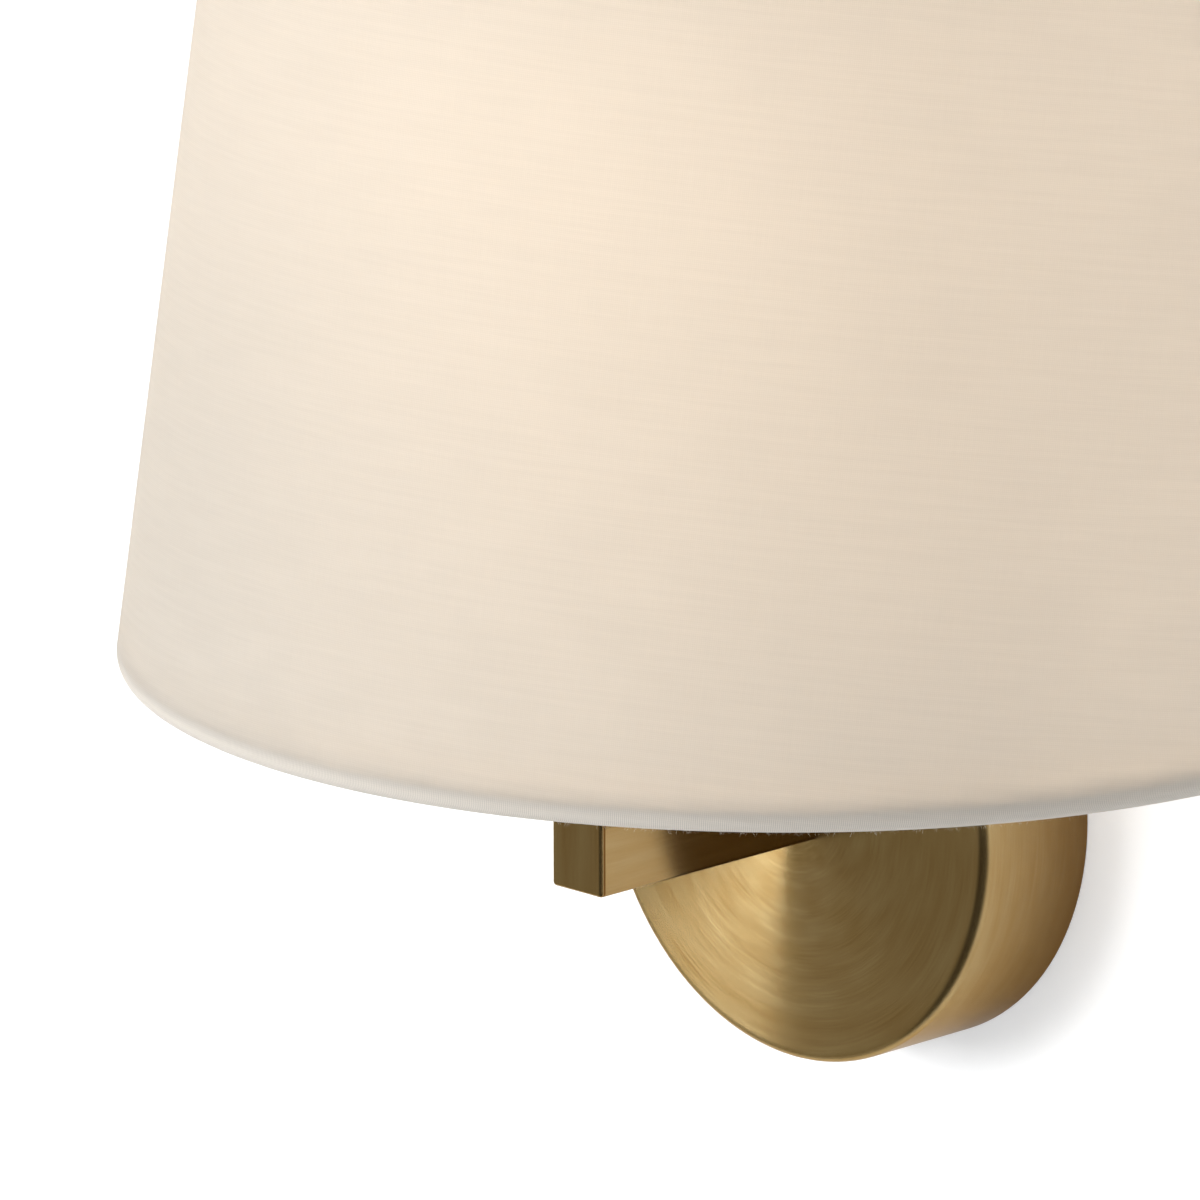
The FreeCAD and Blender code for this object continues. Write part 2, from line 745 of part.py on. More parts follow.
os.makedirs("parts", exist_ok=True)
for name, shape in pieces.items():
    shape.exportStep(os.path.join("parts", name + ".step"))
    bounds = shape.BoundBox
    print(name, "valid" if shape.isValid() else "NOT VALID", len(shape.Solids), "solids",
          round(shape.Volume, 1), "mm3",
          [round(value, 1) for value in (bounds.XMin, bounds.XMax, bounds.YMin, bounds.YMax,
                                         bounds.ZMin, bounds.ZMax)])
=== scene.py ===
# %% [markdown]
# # Fabric shade wall light
# A half-round shade of ivory cotton hangs on a square brass arm, in front of a round brass wall
# plate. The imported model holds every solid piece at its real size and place. This lesson dresses
# it: each piece gets its finish, the cloth is modelled again with its rolled hems, and two fine
# shapes that the solids don't need are added, the grips of the shade ring and the stray fibres of
# the hem. Everything is in metres.

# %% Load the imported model
import math
import random

import bpy
from mathutils import Matrix, Vector


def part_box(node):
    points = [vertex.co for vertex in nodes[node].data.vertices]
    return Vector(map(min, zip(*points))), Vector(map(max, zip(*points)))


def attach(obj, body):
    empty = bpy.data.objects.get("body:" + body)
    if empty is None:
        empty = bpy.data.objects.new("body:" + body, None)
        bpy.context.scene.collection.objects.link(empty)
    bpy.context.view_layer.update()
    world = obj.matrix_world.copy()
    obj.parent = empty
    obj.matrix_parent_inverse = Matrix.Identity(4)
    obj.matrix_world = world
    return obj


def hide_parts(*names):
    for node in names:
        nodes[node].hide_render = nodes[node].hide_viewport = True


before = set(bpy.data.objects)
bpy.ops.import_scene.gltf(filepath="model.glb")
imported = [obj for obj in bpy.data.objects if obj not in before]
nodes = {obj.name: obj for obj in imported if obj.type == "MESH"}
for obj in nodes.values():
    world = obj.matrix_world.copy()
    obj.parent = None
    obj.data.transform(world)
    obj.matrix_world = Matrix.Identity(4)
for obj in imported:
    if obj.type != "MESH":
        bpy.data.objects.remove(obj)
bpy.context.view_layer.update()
MM = 0.001


def short(vector, digits=4):
    """The numbers of a vector, rounded for printing."""
    return [round(number, digits) for number in vector]


# %% [markdown]
# ## Camera
# The photograph was taken with a long lens from the right and a little above. Its direction and
# distance were solved from the outlines of the plate, the arm and the shade's lower edge. A camera
# can be placed by hand, but turning it by three known angles about the point it looks at keeps the
# numbers readable: first the tilt, then the azimuth, with a hair of roll.

# %% Place the camera
CAMERA_AZIMUTH = math.radians(45.421)
CAMERA_ELEVATION = math.radians(14.605)
CAMERA_ROLL = math.radians(-0.129)
CAMERA_DISTANCE = 2.7591
CAMERA_AIM = Vector((-0.0358, -0.0600, 0.0459))
LENS_MM = 360.0
SENSOR_MM = 36.0
NEAREST_SEEN = 0.05

turn = (Matrix.Rotation(CAMERA_AZIMUTH, 4, "Z")
        @ Matrix.Rotation(math.pi / 2 - CAMERA_ELEVATION, 4, "X")
        @ Matrix.Rotation(CAMERA_ROLL, 4, "Z"))
bpy.ops.object.camera_add()
camera = bpy.context.object
camera.name = "photo_camera"
camera.data.lens = LENS_MM
camera.data.sensor_width = SENSOR_MM
camera.data.clip_start = NEAREST_SEEN
camera.matrix_world = Matrix.Translation(CAMERA_AIM + turn @ Vector((0, 0, CAMERA_DISTANCE))) @ turn
bpy.context.scene.camera = camera
bpy.context.scene.view_settings.view_transform = "Standard"
print("camera at", short(camera.matrix_world.translation, 3))

# %% [markdown]
# ## Helpers for node trees
# A procedural material is a small graph of nodes. Written out in full, each node takes several
# lines, so helpers do the repeated work. The first ones add a node, feed its sockets and do one
# calculation. A socket is fed either with a plain value or with another node's output.

# %% Helpers for nodes and numbers
def feed(tree, socket, value):
    """Links value to the socket if it is another socket, and otherwise sets it."""
    if isinstance(value, bpy.types.NodeSocket):
        tree.links.new(value, socket)
    else:
        socket.default_value = value


def add_node(tree, kind, sockets=None, **settings):
    node = tree.nodes.new(kind)
    for name, value in settings.items():
        setattr(node, name, value)
    for name, value in (sockets or {}).items():
        feed(tree, node.inputs[name], value)
    return node


def calc(tree, operation, *values):
    """The result of one Math node."""
    node = add_node(tree, "ShaderNodeMath", operation=operation)
    for socket, value in zip(node.inputs, values):
        feed(tree, socket, value)
    return node.outputs[0]


def opposite(tree, share):
    return calc(tree, "SUBTRACT", 1.0, share)


def between(tree, value, low, high, to_low=0.0, to_high=1.0):
    """Maps a value from one range to another, and holds it inside."""
    node = add_node(tree, "ShaderNodeMapRange")
    for socket, number in zip(node.inputs, (value, low, high, to_low, to_high)):
        feed(tree, socket, number)
    return node.outputs[0]


def blend(tree, share, first, second):
    """The number first where share is 0, and second where it is 1."""
    return calc(tree, "ADD", calc(tree, "MULTIPLY", share, second),
                calc(tree, "MULTIPLY", opposite(tree, share), first))


def blend_colours(tree, share, first, second):
    """The same for colours, which are sockets 6 and 7 of a Mix node, with output 2."""
    node = add_node(tree, "ShaderNodeMix", {"Factor": share, 6: first, 7: second},
                    data_type="RGBA")
    return node.outputs[2]


print("helpers for numbers and colours ready")

# %% [markdown]
# A finish is laid on a piece by coordinates, so the next helpers take a vector apart, put one
# together and read two of them: the piece's own coordinates, which move with it, and the way its
# surface faces. The last ones make noise from a point, and turn a height into small relief.

# %% Helpers for coordinates and textures
def axes(tree, vector):
    """The X, Y and Z of a vector."""
    return add_node(tree, "ShaderNodeSeparateXYZ", {"Vector": vector}).outputs


def vector_of(tree, x, y, z):
    return add_node(tree, "ShaderNodeCombineXYZ", {"X": x, "Y": y, "Z": z}).outputs[0]


def scaled(tree, vector, factor):
    return add_node(tree, "ShaderNodeVectorMath", {0: vector, "Scale": factor},
                    operation="SCALE").outputs[0]


def object_point(tree):
    return add_node(tree, "ShaderNodeTexCoord").outputs["Object"]


def object_axes(tree):
    return axes(tree, object_point(tree))


def facing_axes(tree):
    return axes(tree, add_node(tree, "ShaderNodeNewGeometry").outputs["Normal"])


def noise(tree, point, **sockets):
    return add_node(tree, "ShaderNodeTexNoise", {"Vector": point, **sockets}).outputs["Fac"]


def add_bump(tree, shader, height, strength, distance):
    bump = add_node(tree, "ShaderNodeBump", {"Strength": strength, "Distance": distance,
                                             "Height": height})
    feed(tree, shader.inputs["Normal"], bump.outputs[0])


print("helpers for coordinates and textures ready")

# %% [markdown]
# A texture that several materials share is a node group: it is built once, and each material gives
# it other values. A material starts with one Principled shader, whose constants are set by name.

# %% Helpers for groups and materials
def start_group(name, inputs, outputs):
    """A node group with its sockets, ready for its inside. Each output is a number."""
    group = bpy.data.node_groups.new(name, "ShaderNodeTree")
    kinds = {float: "NodeSocketFloat", tuple: "NodeSocketVector"}
    for socket_name, default in inputs.items():
        socket = group.interface.new_socket(socket_name, in_out="INPUT",
                                            socket_type=kinds[type(default)])
        socket.default_value = default
    for socket_name in outputs:
        group.interface.new_socket(socket_name, in_out="OUTPUT", socket_type="NodeSocketFloat")
    return (group, group.nodes.new("NodeGroupInput").outputs,
            group.nodes.new("NodeGroupOutput").inputs)


def use_group(tree, group, sockets=None):
    return add_node(tree, "ShaderNodeGroup", sockets, node_tree=group).outputs


def start_material(name, **constants):
    """A material whose Principled shader has its constants set on its own sockets."""
    material = bpy.data.materials.new(name)
    material.use_nodes = True
    shader = material.node_tree.nodes["Principled BSDF"]
    for socket_name, value in constants.items():
        shader.inputs[socket_name.replace("_", " ")].default_value = value
    return material, material.node_tree, shader


def mix_shaders(tree, share, first, second):
    return add_node(tree, "ShaderNodeMixShader",
                    {"Fac": share, 1: first.outputs[0], 2: second.outputs[0]})


def show(tree, shader):
    """Gives the shader to the material's output."""
    feed(tree, tree.nodes["Material Output"].inputs["Surface"], shader.outputs[0])


print("helpers for groups and materials ready")

# %% [markdown]
# ## Wall and floor
# The light hangs on a white wall, over a plain pale floor. Both are white to the eye because they
# glow a little for rays that come from the camera, from a reflection or through glass. Their own
# diffuse colour still takes the light and the soft shadow round the plate. Seen from behind, the
# wall is clear, so that the back of the light can be looked at.

# %% Wall and floor
STAGE_COLOUR = (0.86, 0.87, 0.88, 1)
STAGE_ROUGHNESS = 0.9
STAGE_GLOW = 0.30
STAGE_SIZE = 6
WALL_GAP = 0.0003
WALL_MIRRORED = 1.0
FLOOR_HEIGHT = -0.70
FLOOR_MIRRORED = 0.1


def seen_rays(tree, mirrored=1.0):
    """1 for a ray that shows a surface sharply: seen, reflected or through glass, not scattered."""
    path = add_node(tree, "ShaderNodeLightPath").outputs
    seen = calc(tree, "MAXIMUM", path["Is Camera Ray"],
                calc(tree, "MULTIPLY", path["Is Glossy Ray"], mirrored))
    seen = calc(tree, "MAXIMUM", seen, path["Is Transmission Ray"])
    return calc(tree, "MULTIPLY", seen, opposite(tree, path["Is Diffuse Ray"]))


def stage_white(name, mirrored):
    """mirrored is the share of the glow that reflections see."""
    material, tree, shader = start_material(name, Base_Color=STAGE_COLOUR,
                                            Roughness=STAGE_ROUGHNESS)
    strength = calc(tree, "MULTIPLY", seen_rays(tree, mirrored), STAGE_GLOW)
    glow = add_node(tree, "ShaderNodeEmission", {"Strength": strength})
    both = add_node(tree, "ShaderNodeAddShader", {0: shader.outputs[0], 1: glow.outputs[0]})
    from_behind = add_node(tree, "ShaderNodeNewGeometry").outputs["Backfacing"]
    clear = add_node(tree, "ShaderNodeBsdfTransparent")
    show(tree, mix_shaders(tree, from_behind, both, clear))
    return material


bpy.ops.mesh.primitive_plane_add(size=STAGE_SIZE, location=(0, WALL_GAP, 0),
                                 rotation=(math.pi / 2, 0, 0))
wall = bpy.context.object
wall.name = "wall"
bpy.ops.mesh.primitive_plane_add(size=STAGE_SIZE, location=(0, -STAGE_SIZE / 2, FLOOR_HEIGHT))
floor = bpy.context.object
floor.name = "floor"
for plane, mirrored in ((wall, WALL_MIRRORED), (floor, FLOOR_MIRRORED)):
    plane.data.materials.append(stage_white(plane.name + "_white", mirrored))
print("wall at y", WALL_GAP, "and floor at z", FLOOR_HEIGHT)

# %% [markdown]
# ## Studio light
# The photograph has one softbox in front of the light, to its left, and a dim room round it. The
# spun plate shows where the box ends: its brushed rings stretch every reflection towards and away
# from the centre, so the box lights one sector of the plate and leaves the next one dark.

# %% Softbox and room light
SOFTBOX_AZIMUTH = math.radians(-26)
SOFTBOX_ELEVATION = math.radians(5)
SOFTBOX_DISTANCE = 1.8
SOFTBOX_SIZE = (0.84, 0.60)
SOFTBOX_POWER = 18.2
ROOM_LIGHT = 0.54
ROOM_SEEN = 1.0

# Azimuth 0 is straight out of the wall, and plus is to the right as one looks at the wall.
towards = Vector((math.sin(SOFTBOX_AZIMUTH) * math.cos(SOFTBOX_ELEVATION),
                  -math.cos(SOFTBOX_AZIMUTH) * math.cos(SOFTBOX_ELEVATION),
                  math.sin(SOFTBOX_ELEVATION)))
bpy.ops.object.light_add(type="AREA", location=towards * SOFTBOX_DISTANCE,
                         rotation=towards.to_track_quat("Z", "Y").to_euler())
softbox = bpy.context.object
softbox.name = "softbox_front"
softbox.data.shape = "RECTANGLE"
softbox.data.size, softbox.data.size_y = SOFTBOX_SIZE
softbox.data.energy = SOFTBOX_POWER

world = bpy.data.worlds.new("room")
bpy.context.scene.world = world
world.use_nodes = True
room = world.node_tree
background = room.nodes["Background"].inputs
feed(room, background["Color"], (1, 1, 1, 1))
feed(room, background["Strength"],
     between(room, seen_rays(room), 0, 1, ROOM_LIGHT, ROOM_SEEN))
print("softbox of", SOFTBOX_POWER, "W and a room of", ROOM_LIGHT)

# %% [markdown]
# ## Grey card
# Brass needs something dark to reflect, so a curved grey card with a bottom stands in front, low
# down, where only reflections can see it. It is half a drum: a cylinder, cut open at the back and
# at the top. It is darkest on the camera's side, which draws the dark line along the arm's rounded
# edge and round the rim of the plate.

# %% Grey card
CARD_SIDES = 48
CARD_RADIUS = 0.6
CARD_HEIGHT = 0.63
CARD_MIDDLE = -0.365
CARD_BACK = -0.15
CARD_TOP = -0.055
CARD_COLOUR = (1.0, 0.92, 0.74, 1)
CARD_GREY = 0.32
CARD_DARK = 0.075
CARD_FADE = (-0.22, -0.02)

bpy.ops.mesh.primitive_cylinder_add(vertices=CARD_SIDES, radius=CARD_RADIUS, depth=CARD_HEIGHT,
                                    end_fill_type="NGON", location=(0, 0, CARD_MIDDLE))
card = bpy.context.object
card.name = "grey_card"
bpy.ops.object.mode_set(mode="EDIT")
for cut, away in (((0, CARD_BACK, 0), (0, 1, 0)), ((0, 0, CARD_TOP), (0, 0, 1))):
    bpy.ops.mesh.select_all(action="SELECT")
    bpy.ops.mesh.bisect(plane_co=cut, plane_no=away, clear_outer=True)
bpy.ops.object.mode_set(mode="OBJECT")
card_grey, tree, _ = start_material("card_grey")
strength = between(tree, object_axes(tree)["X"], *CARD_FADE, CARD_GREY, CARD_DARK)
show(tree, add_node(tree, "ShaderNodeEmission", {"Color": CARD_COLOUR, "Strength": strength}))
card.data.materials.append(card_grey)
card.visible_camera = card.visible_diffuse = False
card.visible_transmission = card.visible_shadow = False
print("grey card of", len(card.data.polygons), "faces")

# %% [markdown]
# ## Brushed grain
# Spun and brushed metal is covered with fine scratches that run one way. Seen close, they are
# streaks: long along the brushing and very narrow across it. Stretched noise gives that: the
# coordinate along the brushing is squeezed, the one across is not. One group serves the plate,
# whose streaks are rings, and the arm, whose streaks run along the tube.

# %% Group: brushed grain
# Each kind of streak has its width, the detail of its noise and an offset that makes it differ.
FINE_STREAKS = (0.22 * MM, 1.0, 3.0)
MIDDLE_STREAKS = (0.70 * MM, 2.0, 11.0)
COARSE_STREAKS = (4.5 * MM, 1.0, 29.0)
STREAK_ROUGHNESS = 0.6
FINE_IN_TONE = 0.65
FINE_IN_HEIGHT = 0.7


def make_brushed_grain():
    group, given, made = start_group(
        "brushed_grain", {"Along": 0.0, "Across": 0.0, "Streak Length": 0.02},
        ("Tone", "Coarse", "Height"))
    along = calc(group, "DIVIDE", given["Along"], given["Streak Length"])

    def streaks(width, detail, offset):
        across = calc(group, "DIVIDE", given["Across"], width)
        return noise(group, vector_of(group, along, across, offset), Scale=1.0, Detail=detail,
                     Roughness=STREAK_ROUGHNESS)

    fine = streaks(*FINE_STREAKS)
    middle = streaks(*MIDDLE_STREAKS)
    feed(group, made["Tone"],
         calc(group, "MULTIPLY_ADD", middle, 1 - FINE_IN_TONE,
              calc(group, "MULTIPLY", fine, FINE_IN_TONE)))
    feed(group, made["Coarse"], streaks(*COARSE_STREAKS))
    feed(group, made["Height"],
         calc(group, "MULTIPLY_ADD", fine, FINE_IN_HEIGHT,
              calc(group, "MULTIPLY", middle, 1 - FINE_IN_HEIGHT)))
    return group


brushed_grain = make_brushed_grain()
print("group", brushed_grain.name)

# %% [markdown]
# ## Aged brass
# The metal is brass with a satin lacquer over a slightly browned surface; the brown on the plate's
# rim and side wall is painted shade. The plate was brushed while it spun, so its scratches are
# rings round its axis, on the face and on the side wall alike.
# The arm was brushed with straight strokes. Scratches make a reflection wide across them and narrow
# along them: that is the Anisotropic value, with a Tangent that points across the scratches.

# %% Brass with a grain
BRASS_DEEP = (0.37, 0.232, 0.078, 1)
BRASS_LIGHT = (0.50, 0.382, 0.188, 1)
BRASS_PATINA_AND_SHADE = (0.13, 0.055, 0.010, 1)
BRASS_LOOK = dict(Metallic=1.0, Anisotropic=0.96, Coat_Weight=0.15, Coat_Roughness=0.22,
                  Specular_Tint=(0.66, 0.53, 0.40, 1))
BRASS_ROUGH = (0.208, 0.236)
BRASS_BUMP = (0.02, 0.03 * MM)
COARSE_IN_TONE = 0.45
TONE_RANGE = (0.28, 0.72)
GRAIN_RANGE = (0.3, 0.7)


def brass_finish(name, along, across, tangent, patina_and_shade, streak_length):
    """along, across, tangent and patina are functions that build their nodes in the new tree."""
    material, tree, shader = start_material(name, **BRASS_LOOK)
    grain = use_group(tree, brushed_grain, {"Along": along(tree), "Across": across(tree),
                                            "Streak Length": streak_length})
    tone = calc(tree, "MULTIPLY_ADD", grain["Coarse"], COARSE_IN_TONE,
                calc(tree, "MULTIPLY", grain["Tone"], 1 - COARSE_IN_TONE))
    clean = blend_colours(tree, between(tree, tone, *TONE_RANGE), BRASS_DEEP, BRASS_LIGHT)
    # The brown blended in here is patina on the arm and painted shade on the plate.
    feed(tree, shader.inputs["Base Color"],
         blend_colours(tree, patina_and_shade(tree), clean, BRASS_PATINA_AND_SHADE))
    feed(tree, shader.inputs["Roughness"],
         between(tree, grain["Tone"], *GRAIN_RANGE, *BRASS_ROUGH))
    feed(tree, shader.inputs["Tangent"], tangent(tree))
    add_bump(tree, shader, grain["Height"], *BRASS_BUMP)
    return material


print("brass of roughness", BRASS_ROUGH)

# %% [markdown]
# The plate's coordinates follow its turning. Along a ring it is the angle, made a length with a
# mean radius. It counts both ways from the lowest point, so that the two sides meet at the top
# without a seam. Across the rings it is the radius on the face and the depth on the side wall. The
# two are added, because only one of them changes on each.

# %% Brushing of the plate
RING_RADIUS = 40 * MM
PLATE_STREAK = 16 * MM
# Painted shade: the plate's rounded rim and side wall are darkened, most where they meet the wall.
ROUNDED_RIM = (0.5 * MM, 2.5 * MM)
RIM_PAINTED_SHADE = 0.30
SIDE_PAINTED_SHADE = 0.52


def axis_radius(tree):
    """Distance from the plate's axis, which runs along Y through the origin."""
    point = object_axes(tree)
    squares = calc(tree, "ADD", calc(tree, "MULTIPLY", point["X"], point["X"]),
                   calc(tree, "MULTIPLY", point["Z"], point["Z"]))
    return calc(tree, "SQRT", squares)


def ring_along(tree):
    point = object_axes(tree)
    downwards = calc(tree, "MULTIPLY", point["Z"], -1.0)
    angle = calc(tree, "ABSOLUTE", calc(tree, "ARCTAN2", point["X"], downwards))
    return calc(tree, "MULTIPLY", angle, RING_RADIUS)


def ring_across(tree):
    return calc(tree, "SUBTRACT", axis_radius(tree), object_axes(tree)["Y"])


def ring_tangent(tree):
    """Points away from the axis on the face, and along the axis on the side wall."""
    point = object_axes(tree)
    radial = vector_of(tree, point["X"], axis_radius(tree), point["Z"])
    return add_node(tree, "ShaderNodeVectorMath", {0: radial}, operation="NORMALIZE").outputs[0]


def ring_painted_shade(tree):
    """Painted shade: the rounded rim and the side wall darken towards brown, most near the wall."""
    depth = object_axes(tree)["Y"]
    face, wall_edge = (corner.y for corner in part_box("wall_plate"))
    start, end = (face + inset for inset in ROUNDED_RIM)
    return calc(tree, "ADD", between(tree, depth, start, end, 0.0, RIM_PAINTED_SHADE),
                between(tree, depth, end, wall_edge, 0.0, SIDE_PAINTED_SHADE))


plate_brass = brass_finish("plate_brass", ring_along, ring_across, ring_tangent, ring_painted_shade,
                           PLATE_STREAK)
print("brass:", plate_brass.name)

# %% [markdown]
# The arm is brushed up and down on its front face and on the post, and along the run elsewhere. A
# mask tells the two apart, and each coordinate is chosen by it. A dark seam shows on the sides,
# where the front plate is soldered on.

# %% Brushing of the arm
FACES = 0.7
ARM_STREAK = 30 * MM
ARM_BROWNED = 0.40
SEAM_DEPTH = 1.1 * MM
SEAM_WIDTH = 0.45 * MM
arm_low, arm_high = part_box("arm")
ARM_SIZE = arm_high.x - arm_low.x


def faces_along(tree, axis):
    """1 where the surface faces along the axis, either way."""
    return calc(tree, "GREATER_THAN", calc(tree, "ABSOLUTE", facing_axes(tree)[axis]), FACES)


def upright_mask(tree):
    """1 where the arm is brushed up and down: on its front, and all round the post over the run."""
    return calc(tree, "MAXIMUM", faces_along(tree, "Y"),
                calc(tree, "GREATER_THAN", object_axes(tree)["Z"], ARM_SIZE / 2))


def arm_along(tree):
    point = object_axes(tree)
    return blend(tree, upright_mask(tree), point["Y"], point["Z"])


def arm_across(tree):
    point = object_axes(tree)
    run = calc(tree, "ADD", point["X"], point["Z"])
    post = calc(tree, "ADD", point["X"], point["Y"])
    return blend(tree, upright_mask(tree), run, post)


def arm_tangent(tree):
    mask = upright_mask(tree)
    return vector_of(tree, 1.0, mask, opposite(tree, mask))


def arm_patina(tree):
    """The run and the sides have browned a little, and the seam is dark."""
    side = faces_along(tree, "X")
    off_seam = calc(tree, "ABSOLUTE", calc(tree, "SUBTRACT", object_axes(tree)["Y"],
                                           arm_low.y + SEAM_DEPTH))
    seam = calc(tree, "MULTIPLY", side,
                between(tree, off_seam, SEAM_WIDTH * 0.5, SEAM_WIDTH, 1.0, 0.0))
    run = calc(tree, "MULTIPLY", opposite(tree, upright_mask(tree)), ARM_BROWNED)
    return calc(tree, "MAXIMUM", seam,
                calc(tree, "MAXIMUM", run, calc(tree, "MULTIPLY", side, ARM_BROWNED)))


arm_brass = brass_finish("arm_brass", arm_along, arm_across, arm_tangent, arm_patina, ARM_STREAK)
print("brass:", arm_brass.name, "on a tube of", round(ARM_SIZE / MM, 1), "mm")

# %% [markdown]
# ## Dress a piece
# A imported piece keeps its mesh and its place. Only its material is new, in every slot it has.

# %% Dress the plate and the arm
def dress(material, *names):
    for name in names:
        for slot in nodes[name].material_slots:
            slot.material = material


dress(plate_brass, "wall_plate")
dress(arm_brass, "arm")
print("plate and arm dressed")

# %% [markdown]
# ## Cloth
# The shade is plain-weave cotton. Its weave is half a millimetre from thread to thread, at the edge
# of what the photograph resolves, so what one sees is mostly the unevenness of the yarn: long faint
# lines where a thread is thicker. The group makes both from the cloth's own flat coordinates.

# %% Group: plain weave
THREAD_PITCH = 0.45 * MM
# How far a yarn stays equally thick: in the warp, in the weft, and where it is a slub.
WARP_EVEN = 10 * MM
WEFT_EVEN = 14 * MM
SLUB_EVEN = 30 * MM
SLUB_NARROW = 0.35


def make_plain_weave():
    group, given, made = start_group(
        "plain_weave", {"Flat Point": (0.0, 0.0, 0.0), "Thread Pitch": THREAD_PITCH},
        ("Height", "Yarn", "Slub", "Rib"))
    flat = axes(group, given["Flat Point"])
    warp = calc(group, "DIVIDE", flat["X"], given["Thread Pitch"])
    weft = calc(group, "DIVIDE", flat["Y"], given["Thread Pitch"])
    warp_wave = calc(group, "SINE", calc(group, "MULTIPLY", warp, math.pi))
    weft_wave = calc(group, "SINE", calc(group, "MULTIPLY", weft, math.pi))
    crossing = calc(group, "MULTIPLY", warp_wave, weft_wave)
    over = calc(group, "ADD", calc(group, "ABSOLUTE", warp_wave), crossing)
    under = calc(group, "SUBTRACT", calc(group, "ABSOLUTE", weft_wave), crossing)

    def yarn(along, across, length, offset):
        """offset only makes the noise of one yarn differ from another's."""
        spot = vector_of(group, calc(group, "DIVIDE", along, length), across, offset)
        return noise(group, spot, Scale=1.0, Detail=1.0)

    both_yarns = calc(group, "ADD", yarn(flat["Y"], warp, WARP_EVEN, 5.0),
                      yarn(flat["X"], weft, WEFT_EVEN, 17.0))
    slub_line = calc(group, "MULTIPLY", weft, SLUB_NARROW)
    feed(group, made["Height"],
         calc(group, "MULTIPLY", calc(group, "MAXIMUM", over, under), 0.5))
    feed(group, made["Yarn"], calc(group, "MULTIPLY", both_yarns, 0.5))
    feed(group, made["Slub"], yarn(flat["X"], slub_line, SLUB_EVEN, 41.0))
    feed(group, made["Rib"], opposite(group, calc(group, "ABSOLUTE", warp_wave)))
    return group


plain_weave = make_plain_weave()
print("group", plain_weave.name)

# %% [markdown]
# ## Sizes of the shade
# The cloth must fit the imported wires, so its measures are read from them and not typed in: where
# the two bowed wires end at the back, how the slope runs from one to the other, and how thick a
# roll the fabric makes round a wire. Only the cloth's own measures are given here.

# %% Sizes of the shade
CLOTH_THICKNESS = 0.45 * MM
HEM_TUCK = 6.0 * MM
BACK_RETURN = 5.5 * MM
rim_low, rim_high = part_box("shade_rim_wire")
WIRE_RADIUS = (rim_high.z - rim_low.z) / 2


def wire_end(low, high):
    """The middle of a bowed wire's round section, at its right end."""
    return Vector((high.x - WIRE_RADIUS, high.y, (low.z + high.z) / 2))


rim_wire = wire_end(rim_low, rim_high)
top_wire = wire_end(*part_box("shade_top_wire"))
up_slope = top_wire - rim_wire
slope = up_slope.normalized()
outward = Vector((slope.z, 0, -slope.x))
ROLL_RADIUS = rim_wire.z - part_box("shade_fabric")[0].z - CLOTH_THICKNESS / 2
ARC_CENTRE = Vector((0, rim_wire.y, 0))
slope_start = HEM_TUCK + math.pi * ROLL_RADIUS
slope_end = slope_start + up_slope.length
print("roll radius", round(ROLL_RADIUS / MM, 2), "mm, slope", round(up_slope.length / MM, 1), "mm")

# %% [markdown]
# ## Cloth and lining materials
# Lit from inside, cloth and lining are translucent: part of the light that falls on their back
# comes through, warmer than it was. The hem is three layers thick and lets less through. A distance
# from the nearest wire tells where it starts. Inside the tuck the cloth must not shade itself, so
# nearly all the light passes there.

# %% Cotton
CLOTH_FRONT = (0.87, 0.85, 0.81, 1)
CLOTH_THROUGH = (0.97, 0.94, 0.90)
CLOTH_PASSES = 0.72
CLOTH_LOOK = dict(Roughness=0.85, Sheen_Weight=0.08, Sheen_Roughness=0.5)
CLOTH_BUMP = (0.35, 0.12 * MM)
# Painted warm light: the hem's colour is paler and warmer than the same cotton above it.
HEM_FRONT_WARM_LIT = (0.92, 0.86, 0.775, 1)
HEM_PASSES = 0.22
HEM_FADE = (2.0 * MM, -0.2 * MM)
HEM_RIBS = 0.20
TUCK_PASSES = 0.95
YARN_RANGE = (0.35, 0.65)
THICK_YARN = 0.965
THREAD_RANGE = (0.2, 1.0)
THREAD_GAP = 0.94


def see_through(tree, shader, colour, share):
    """Mixes the shader with light that comes through from behind."""
    through = add_node(tree, "ShaderNodeBsdfTranslucent", {"Color": colour})
    show(tree, mix_shaders(tree, share, shader, through))


